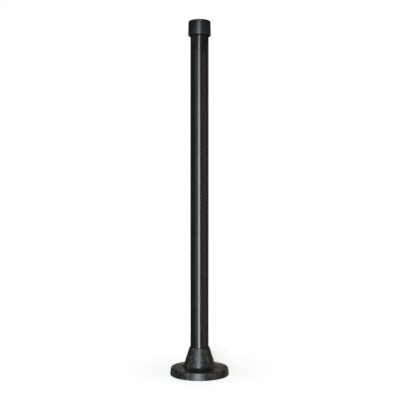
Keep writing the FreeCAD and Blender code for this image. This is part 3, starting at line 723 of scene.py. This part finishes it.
cover = turn("cover", [
    (cover_r - COVER_WALL, 0),
    (cover_r, 0, FOOT_ROUND),
    (cover_r - COVER_BELLY_IN, COVER_RIM_Z / 2, BELLY_ROUND),
    (rim_r, COVER_RIM_Z, RIM_ROUND),
    (CONE_FOOT_R, CONE_FOOT_Z, CONE_FILLET),
    (collar_r, collar_top, COLLAR_ROUND),
    (lip_r + COLLAR_LIP_CHAMFER, collar_top),
    (lip_r, collar_top - COLLAR_LIP_CHAMFER),
    (lip_r, lip_low),
    (cone_radius(lip_low) - COVER_WALL, lip_low),
    (cone_radius(ceiling) - COVER_WALL, ceiling, CONE_FILLET - COVER_WALL),
    (rim_r - COVER_WALL, COVER_RIM_Z - COVER_WALL, RIM_INNER_ROUND),
], segments=COVER_SEGMENTS)
print("cover shell", len(cover.data.polygons), "faces, cone", round(CONE_FOOT_R / MM, 1), "to",
      round(collar_r / MM, 1), "mm")

# %% [markdown]
# ## The cover's ribs and snaps
#
# Under the dome the moulding has eight ribs that rest on the ground plate when someone treads on
# it, and six snaps inside the foot that hold it under the plate's edge. They could be extruded out
# of the shell's own faces, but the faces don't lie where the ribs stand. A rib and a snap are each
# modelled once as a block, the rib's inner upper corners are moved up into the dome's wall, and
# each is copied round the axis. All the copies are then joined to the shell in one union.

# %% Cover ribs and snaps
RIB_COUNT = 8
RIB_THICKNESS = 2.0 * MM
RIB_START = 60.0 * MM
RIB_END = 91.7 * MM
RIB_REST_GAP = 0.3 * MM
SNAP_COUNT = 6
SNAP_FIRST_ANGLE = 15.0
SNAP_WIDTH = 12.0 * MM
SNAP_START = 87.6 * MM
SNAP_END = 94.8 * MM
SNAP_LOW = 0.25 * MM
SNAP_HIGH = 1.2 * MM


def block(x0, x1, width, z0, z1):
    """A block that lies along the X axis."""
    only(None)
    bpy.ops.mesh.primitive_cube_add(size=1, location=((x0 + x1) / 2, 0, (z0 + z1) / 2),
                                    scale=(x1 - x0, width, z1 - z0))
    return settle()


def around(first, count, first_angle):
    """Copies of a block turned about the axis, each with its own mesh, and the block removed."""
    made = []
    for index in range(count):
        angle = math.radians(first_angle + 360 * index / count)
        only(first)
        bpy.ops.object.duplicate(linked=False)
        bpy.context.object.rotation_euler = (0, 0, angle)
        made.append(settle())
    bpy.data.objects.remove(first)
    return made


plate_top = low_high("base_plate")[1]
rib = block(RIB_START, RIB_END, RIB_THICKNESS, plate_top + RIB_REST_GAP,
            COVER_RIM_Z - COVER_WALL / 2)
bpy.ops.object.mode_set(mode="EDIT")
rib_middle = Vector(((RIB_START + RIB_END) / 2, 0, COVER_RIM_Z / 2))
pick(rib, "VERT", lambda co: co.x < rib_middle.x and co.z > rib_middle.z)
bpy.ops.transform.translate(value=(0, 0, CONE_FOOT_Z - COVER_RIM_Z))
only(rib)
ribs = around(rib, RIB_COUNT, 180 / RIB_COUNT)
snaps = around(block(SNAP_START, SNAP_END, SNAP_WIDTH, SNAP_LOW, SNAP_HIGH),
               SNAP_COUNT, SNAP_FIRST_ANGLE)
carve(cover, join(*ribs, *snaps), "UNION")
print("cover with", RIB_COUNT, "ribs and", SNAP_COUNT, "snaps")

# %% [markdown]
# ## The hole for the lock
#
# The lock's turret comes up through a drop-shaped hole behind the collar. The same shape is needed
# three times: for this hole, for the turret and for its flap. Its outline could be drawn corner by
# corner, with the two tangent lines worked out by hand. It is quicker to stand two cylinders of
# different size side by side, because their convex hull finds the two straight sides by itself.

# %% The drop shape and the cover's hole
key_x, key_y = joints["key_turn"]["pos_m"][:2]
pivot_x = joints["flap_swing"]["pos_m"][0]
TURRET_GAP = 0.4 * MM
# faces of the hull that differ by less than this many degrees are made one
FLAT_TO = 0.5


def drop(name, well_r, pivot_r, low, high):
    """A prism round the key well and the flap's pivot."""
    piece = join(drum(well_r, low, high, key_x, key_y), drum(pivot_r, low, high, pivot_x, key_y))
    piece.name = name
    bpy.ops.object.mode_set(mode="EDIT")
    bpy.ops.mesh.select_all(action="SELECT")
    bpy.ops.mesh.convex_hull()
    bpy.ops.mesh.select_all(action="SELECT")
    bpy.ops.mesh.remove_doubles(threshold=TINY)
    bpy.ops.mesh.dissolve_limited(angle_limit=math.radians(FLAT_TO))
    bpy.ops.mesh.normals_make_consistent(inside=False)
    only(piece)
    return piece


turret_low, turret_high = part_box("key_turret")
well_side_r = turret_high[0] - key_x
pivot_side_r = pivot_x - turret_low[0]
carve(cover, drop("hole", well_side_r + TURRET_GAP, pivot_side_r + TURRET_GAP,
                  plate_top, collar_top))
finish(cover, cover_plastic, "base", "base_cover")

# %% [markdown]
# ## Die-cast zinc
#
# The lock's housing and turret are cast in zinc alloy under pressure and left as cast, after a
# tumble that takes off the flash. The skin is a soft grey with faint clouds where the metal ran.
# Plain polished metal would look machined, so the colour and the roughness follow one cloud, and a
# fine bump gives the tumbled skin.

# %% Die-cast zinc
# gives the eye: mid-grey metal, satin, slightly blotchy
cast_zinc, tree, shader, place = new_material("die-cast zinc alloy", Metallic=1.0)
cloud = add(tree, NOISE, Vector=place, Scale=per_size(9), Detail=5.0, Roughness=0.6)
tint = add(tree, RAMP, stops=[(0.3, "#8f9193"), (0.7, "#adafb0")], Fac=cloud)
gloss = add(tree, RAMP, stops=[(0.3, 0.38), (0.7, 0.52)], Fac=cloud)
# tumbling leaves fine dents about 0.6 mm across
dents = add(tree, NOISE, Vector=place, Scale=per_size(0.6), Detail=2.0)
relief = add(tree, BUMP, Height=dents, Strength=0.3, Distance=0.02 * MM)
connect(tree, shader, Base_Color=tint, Roughness=gloss, Normal=relief)
show(cast_zinc)

# %% [markdown]
# ## The key turret
#
# The turret is a small casting with a round well over the key's head and a tail that carries the
# flap's rivet. It could be sculpted from a block, but a casting's die is milled, and so this is
# made as the die is: the drop shape with a bevel round its upper edge, then the well cut with a
# turned cutter whose top flares like a countersink, and the rivet's hole cut with a cylinder. Two
# pegs under it stand in the lock's housing.

# %% Key turret
TURRET_ROUND = 1.2 * MM
WELL_R = 7.0 * MM
WELL_MOUTH = 0.5 * MM
PEG_R = 1.2 * MM
PEG_SIDES = 32
RIVET_HOLE_R = 1.5 * MM

lid_top = low_high("lock_lid")[1]
turret_top = turret_high[2]
turret = drop("turret", well_side_r, pivot_side_r, lid_top, turret_top)
bpy.ops.object.mode_set(mode="EDIT")
pick(turret, "EDGE", lambda co: co.z > turret_top - TINY)
bpy.ops.mesh.bevel(offset=TURRET_ROUND, segments=CORNER_SEGMENTS)
only(turret)
carve(turret, turn("well", [(0, lid_top - MM), (WELL_R, lid_top - MM),
                            (WELL_R, turret_top - WELL_MOUTH),
                            (WELL_R + WELL_MOUTH + MM, turret_top + MM),
                            (0, turret_top + MM)], steps=SMALL_STEPS, x=key_x, y=key_y))
carve(turret, drum(RIVET_HOLE_R, lid_top - MM, turret_top + MM, pivot_x, key_y))
for side in (-1, 1):
    peg_y = key_y + side * (WELL_R + well_side_r) / 2
    carve(turret, drum(PEG_R, turret_low[2], lid_top + MM, key_x, peg_y, sides=PEG_SIDES),
          "UNION")
finish(turret, cast_zinc, "base", "key_turret")

# %% [markdown]
# ## Black coat on stainless
#
# The flap over the key well is cut from stainless sheet and coated black, thinner and a little
# shinier than the powder on the post. It could share the post's finish, but the sheet is handled
# far more, so it has a finish of its own, with smaller patches.

# %% Black coat
# gives the eye: thin black paint on metal, with a soft shine and slightly uneven depth
black_coat, tree, shader, place = new_material("black coat on stainless sheet", IOR=1.5)
cloud = add(tree, NOISE, Vector=place, Scale=per_size(4), Detail=3.0)
tint = add(tree, RAMP, stops=[(0.3, "#191919"), (0.7, "#222221")], Fac=cloud)
gloss = add(tree, RAMP, stops=[(0.3, 0.28), (0.7, 0.4)], Fac=cloud)
connect(tree, shader, Base_Color=tint, Roughness=gloss)
show(black_coat)

# %% [markdown]
# ## The flap
#
# The flap keeps rain and grit out of the key well. It swings on the rivet, and a small nib gives a
# finger something to push. On the real piece the nib is pressed up out of the sheet. That could be
# done with proportional editing, but half a ball sunk into the top gives the same bump exactly in
# its place. The rest is the drop shape again, with all its edges bevelled and the rivet's hole.

# %% Flap
FLAP_THICKNESS = 1.6 * MM
FLAP_EDGE = 0.35 * MM
NIB_R = 1.5 * MM
NIB_IN = 3.0 * MM
NIB_SEGMENTS = 32
FLAP_HOLE_R = 1.55 * MM

flap_low, flap_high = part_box("key_flap")
flap_top = flap_low[2] + FLAP_THICKNESS
flap = drop("flap", flap_high[0] - key_x, pivot_x - flap_low[0], flap_low[2], flap_top)
bpy.ops.object.mode_set(mode="EDIT")
for level in (flap_low[2], flap_top):
    pick(flap, "EDGE", lambda co: abs(co.z - level) < TINY)
    bpy.ops.mesh.bevel(offset=FLAP_EDGE, segments=EDGE_SEGMENTS)
only(None)
bpy.ops.mesh.primitive_uv_sphere_add(segments=NIB_SEGMENTS, ring_count=NIB_SEGMENTS // 2, radius=NIB_R,
                                     location=(flap_high[0] - NIB_IN, key_y, flap_top))
nib = settle()
bpy.ops.object.mode_set(mode="EDIT")
bpy.ops.mesh.select_all(action="SELECT")
bpy.ops.mesh.bisect(plane_co=(0, 0, flap_low[2] + FLAP_THICKNESS / 2), plane_no=(0, 0, 1),
                    clear_inner=True, use_fill=True)
carve(flap, nib, "UNION")
carve(flap, drum(FLAP_HOLE_R, flap_low[2] - MM, flap_high[2] + MM, pivot_x, key_y))
finish(flap, black_coat, "key_flap", "key_flap")

# %% [markdown]
# ## Bright stainless
#
# The flap's rivet and the lock's screws are plain stainless, cold-formed and barrel polished. A
# perfect mirror would vanish, because it shows only the dark room. Uneven polish spreads the lamps
# over it, so the roughness moves between a bright and a softer value.

# %% Bright stainless
# gives the eye: a small bright metal point
stainless, tree, shader, place = new_material(
    "barrel-polished stainless steel", Metallic=1.0, Base_Color=linear("#c2c3c2"))
rubbed = add(tree, NOISE, Vector=place, Scale=per_size(1.5), Detail=3.0)
gloss = add(tree, RAMP, stops=[(0.3, 0.2), (0.7, 0.34)], Fac=rubbed)
connect(tree, shader, Roughness=gloss)
show(stainless)

# %% [markdown]
# ## The rivet
#
# The rivet holds the flap on its pivot: a shank with a domed head on top. It could be a cylinder
# with a squashed ball, but those would be two shells in one. As it is round all the way, it is
# turned like the cap's screw, and only then set over the pivot.

# %% Rivet
RIVET_SHANK_R = 1.45 * MM
RIVET_HEAD_T = 1.3 * MM
rivet_low, rivet_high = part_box("flap_rivet")
rivet_head_r = rivet_high[0] - pivot_x
head_low = rivet_high[2] - RIVET_HEAD_T
head_corners = [(rivet_head_r * math.cos(math.radians(a)),
                 head_low + RIVET_HEAD_T * math.sin(math.radians(a))) for a in HEAD_ANGLES]
rivet = turn("rivet", [(0, rivet_low[2]), (RIVET_SHANK_R, rivet_low[2]), (RIVET_SHANK_R, head_low),
                       *head_corners, (0, rivet_high[2])], steps=SMALL_STEPS, x=pivot_x, y=key_y)
finish(rivet, stainless, "base", "flap_rivet")

# %% [markdown]
# ## Moulded rubber
#
# Three rubber rings quieten the post: one wipes it under the collar's lip, one stops it at the top,
# and one meets the collar when the post is down. Rubber is dull because its skin is full of tiny
# pits. Those could be modelled as a bump, but they are far too small to see, so a high roughness
# stands for them, and a cloud of slightly paler black is the bloom that rubber sweats out.

# %% Rubber
# gives the eye: dead matt black with a greyish bloom
rubber, tree, shader, place = new_material("moulded black rubber", IOR=1.52)
bloom = add(tree, NOISE, Vector=place, Scale=per_size(6), Detail=5.0, Roughness=0.65)
tint = add(tree, RAMP, stops=[(0.35, "#181818"), (0.7, "#272726")], Fac=bloom)
gloss = add(tree, RAMP, stops=[(0.35, 0.66), (0.7, 0.85)], Fac=bloom)
connect(tree, shader, Base_Color=tint, Roughness=gloss)
show(rubber)

# %% [markdown]
# ## The landing ring
#
# This is the ring that meets the collar when the post is down, and it can be seen from below,
# inside the cap. A torus would be the quick way, but the real ring is square in section, with its
# two lower edges rounded. So it is a turned section again.

# %% Landing ring
LANDING_BORE_R = 30.4 * MM
LANDING_EDGE = 0.5 * MM
LANDING_SEGMENTS = 3
landing_low, landing_high = low_high("landing_ring")
landing_r = outer_radius("landing_ring")
landing = turn("landing_ring_moulded", [
    (LANDING_BORE_R, landing_low, LANDING_EDGE), (landing_r, landing_low, LANDING_EDGE),
    (landing_r, landing_high), (LANDING_BORE_R, landing_high)], segments=LANDING_SEGMENTS)
finish(landing, rubber, "post", "landing_ring")

# %% [markdown]
# ## Zinc-rich primer
#
# Everything from here on is hidden by the cover, the cap or the post. The ground plate, the guide
# tube and its gussets are welded steel under a zinc-rich primer, sprayed on. It could be a plain
# grey paint, but zinc dust makes it chalky and slightly metallic, and it dries unevenly.

# %% Zinc-rich primer
# gives the eye: flat mid-grey, chalky, thicker in places
zinc_rich, tree, shader, place = new_material("zinc-rich primer on steel", Metallic=0.2)
cloud = add(tree, NOISE, Vector=place, Scale=per_size(12), Detail=6.0, Roughness=0.65)
tint = add(tree, RAMP, stops=[(0.3, "#86898b"), (0.7, "#a2a4a5")], Fac=cloud)
gloss = add(tree, RAMP, stops=[(0.3, 0.55), (0.7, 0.75)], Fac=cloud)
connect(tree, shader, Base_Color=tint, Roughness=gloss)
show(zinc_rich)

# %% [markdown]
# ## Cut rubber sheet
#
# The gasket under the plate is cut from rubber sheet that was cured between cloths. The weave that
# the cloth leaves could be two crossed waves. At this size it reads as a fine grain, so one small
# noise in the bump is enough.

# %% Rubber sheet
# gives the eye: matt black with a fine cloth grain of 0.8 mm
sheet_rubber, tree, shader, place = new_material(
    "cut rubber sheet", IOR=1.52, Base_Color=linear("#1d1d1c"), Roughness=0.8)
cloth = add(tree, NOISE, Vector=place, Scale=per_size(0.8), Detail=2.0)
relief = add(tree, BUMP, Height=cloth, Strength=0.4, Distance=0.05 * MM)
connect(tree, shader, Normal=relief)
show(sheet_rubber)

# %% [markdown]
# ## Turned natural nylon
#
# The two bushes that the post slides in are turned from natural nylon, which lets a little light
# in. The tool leaves fine rings. They could be modelled, but they are only 0.4 mm apart, so they
# are a wave in the bump, drawn 1 mm apart so that they show.

# %% Natural nylon
# gives the eye: waxy off-white with faint tool rings
natural_nylon, tree, shader, place = new_material(
    "turned natural nylon", IOR=1.53, Base_Color=linear("#e6e2d4"), Roughness=0.42,
    Subsurface_Weight=0.1, Subsurface_Scale=0.002)
# a wave of scale 1 repeats every 2 pi / 20 units, so this scale repeats it once a unit
WAVE_PER_RING = 2 * math.pi / 20
rings = add(tree, "ShaderNodeTexWave", {"wave_type": "BANDS", "bands_direction": "Z"},
            Vector=place, Scale=WAVE_PER_RING * per_size(1))
relief = add(tree, BUMP, Height=rings, Strength=0.2, Distance=0.02 * MM)
connect(tree, shader, Normal=relief)
show(natural_nylon)

# %% [markdown]
# ## Moulded black nylon
#
# The foot plug and the cap's sleeve are moulded in plain black nylon, with no glass in it. They
# could share the cover's finish, but without glass the skin is smoother and has no streaks.

# %% Black nylon
# gives the eye: plain black, slightly shiny in clouds
black_nylon, tree, shader, place = new_material(
    "moulded black nylon", IOR=1.53, Base_Color=linear("#1c1c1b"))
cloud = add(tree, NOISE, Vector=place, Scale=per_size(10), Detail=3.0)
gloss = add(tree, RAMP, stops=[(0.3, 0.36), (0.7, 0.5)], Fac=cloud)
connect(tree, shader, Roughness=gloss)
show(black_nylon)

# %% [markdown]
# ## Turned aluminium
#
# The plug in the post's head is faced and turned from aluminium bar, and the facing cut leaves
# rings about the axis. Anisotropic shading would smear the highlight in the same way, but it needs
# a tangent for every face. Rings in the bump do it from the piece's own coordinates.

# %% Aluminium
# gives the eye: pale metal, with tool rings 0.3 mm apart drawn at 1 mm
aluminium, tree, shader, place = new_material(
    "turned aluminium", Metallic=1.0, Base_Color=linear("#d3d4d5"), Roughness=0.3)
rings = add(tree, "ShaderNodeTexWave", {"wave_type": "RINGS", "rings_direction": "Z"},
            Vector=place, Scale=WAVE_PER_RING * per_size(1))
relief = add(tree, BUMP, Height=rings, Strength=0.3, Distance=0.02 * MM)
connect(tree, shader, Normal=relief)
show(aluminium)

# %% [markdown]
# ## Zinc-plated sheet
#
# The lock's lid is punched from zinc-plated steel sheet. The zinc sets in flat crystals, the
# spangle, each of which shines at its own angle. Noise has no flat cells, but a Voronoi pattern
# has, so its cells set the roughness.

# %% Zinc-plated sheet
# gives the eye: bluish bright metal with a soft spangle 3 mm across
plated_sheet, tree, shader, place = new_material(
    "zinc-plated steel sheet", Metallic=1.0, Base_Color=linear("#bcc1c6"))
spangle = add(tree, "ShaderNodeTexVoronoi", {"feature": "F1"}, Vector=place, Scale=per_size(3))
gloss = add(tree, RAMP, stops=[(0.0, 0.24), (0.8, 0.36)], Fac=spangle)
connect(tree, shader, Roughness=gloss)
show(plated_sheet)

# %% [markdown]
# ## Ground stainless
#
# The lock's bolt is ground along its length so that it slides easily. The grinding lines could be
# a wave, but real ones start and stop. A noise that is stretched twenty-five times along the bolt
# looks like them.

# %% Ground stainless
# gives the eye: bright metal with lines along the bolt, 0.2 mm apart and drawn at 0.5 mm
ground_steel, tree, shader, place = new_material(
    "ground stainless steel", Metallic=1.0, Base_Color=linear("#cbccca"))
lines = add(tree, MAPPING, Vector=place, Scale=(1, 0.04, 1))
lines = add(tree, NOISE, Vector=lines, Scale=per_size(0.5), Detail=3.0)
gloss = add(tree, RAMP, stops=[(0.3, 0.18), (0.7, 0.36)], Fac=lines)
connect(tree, shader, Roughness=gloss)
show(ground_steel)

# %% [markdown]
# ## Free-cutting brass
#
# The key's spindle and its pinion are milled from brass bar, which doesn't rust shut. Clean brass
# is one bright yellow, but grease dulls and darkens it, so the same cloud darkens the colour and
# raises the roughness together.

# %% Brass
# gives the eye: yellow metal, dulled where grease has sat
brass, tree, shader, place = new_material("free-cutting brass", Metallic=1.0)
cloud = add(tree, NOISE, Vector=place, Scale=per_size(4), Detail=4.0)
tint = add(tree, RAMP, stops=[(0.3, "#b18d4c"), (0.7, "#d4b46c")], Fac=cloud)
gloss = add(tree, RAMP, stops=[(0.3, 0.36), (0.7, 0.22)], Fac=cloud)
connect(tree, shader, Base_Color=tint, Roughness=gloss)
show(brass)

# %% [markdown]
# ## The pieces inside
#
# These pieces could all be modelled again, but nobody sees them until the object is taken apart,
# and the design file's meshes are right in shape. So they keep those meshes, and only get the
# finish of what each is made of.

# %% The hidden pieces' finishes
KEPT_NODES = {
    "base_plate": zinc_rich, "guide_tube": zinc_rich, "guide_gussets": zinc_rich,
    "foot_ring": zinc_rich, "base_gasket": sheet_rubber, "wiper_seal": rubber,
    "foot_buffer": rubber, "lower_bush": natural_nylon, "upper_bush": natural_nylon,
    "foot_plug": black_nylon, "cap_sleeve": black_nylon, "head_plug": aluminium,
    "lock_housing": cast_zinc, "lock_lid": plated_sheet, "lock_screws": stainless,
    "lock_bolt": ground_steel, "key_spindle": brass,
}
for name, material in KEPT_NODES.items():
    materials = frame["nodes"][name].data.materials
    materials.clear()
    materials.append(material)
print(len(KEPT_NODES), "pieces keep their own mesh")

# %% [markdown]
# ## Sizes
#
# The finer meshes are meant to keep the object's size. That could be checked by eye against the
# design, but a millimetre doesn't show. So the box of the design model and the box of this visual
# model are printed side by side.

# %% Write the sizes and close
visual_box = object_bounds()
for word, pair in (("design", cad_box), ("visual", visual_box)):
    print(word, [[round(v / MM, 2) for v in corner] for corner in pair])
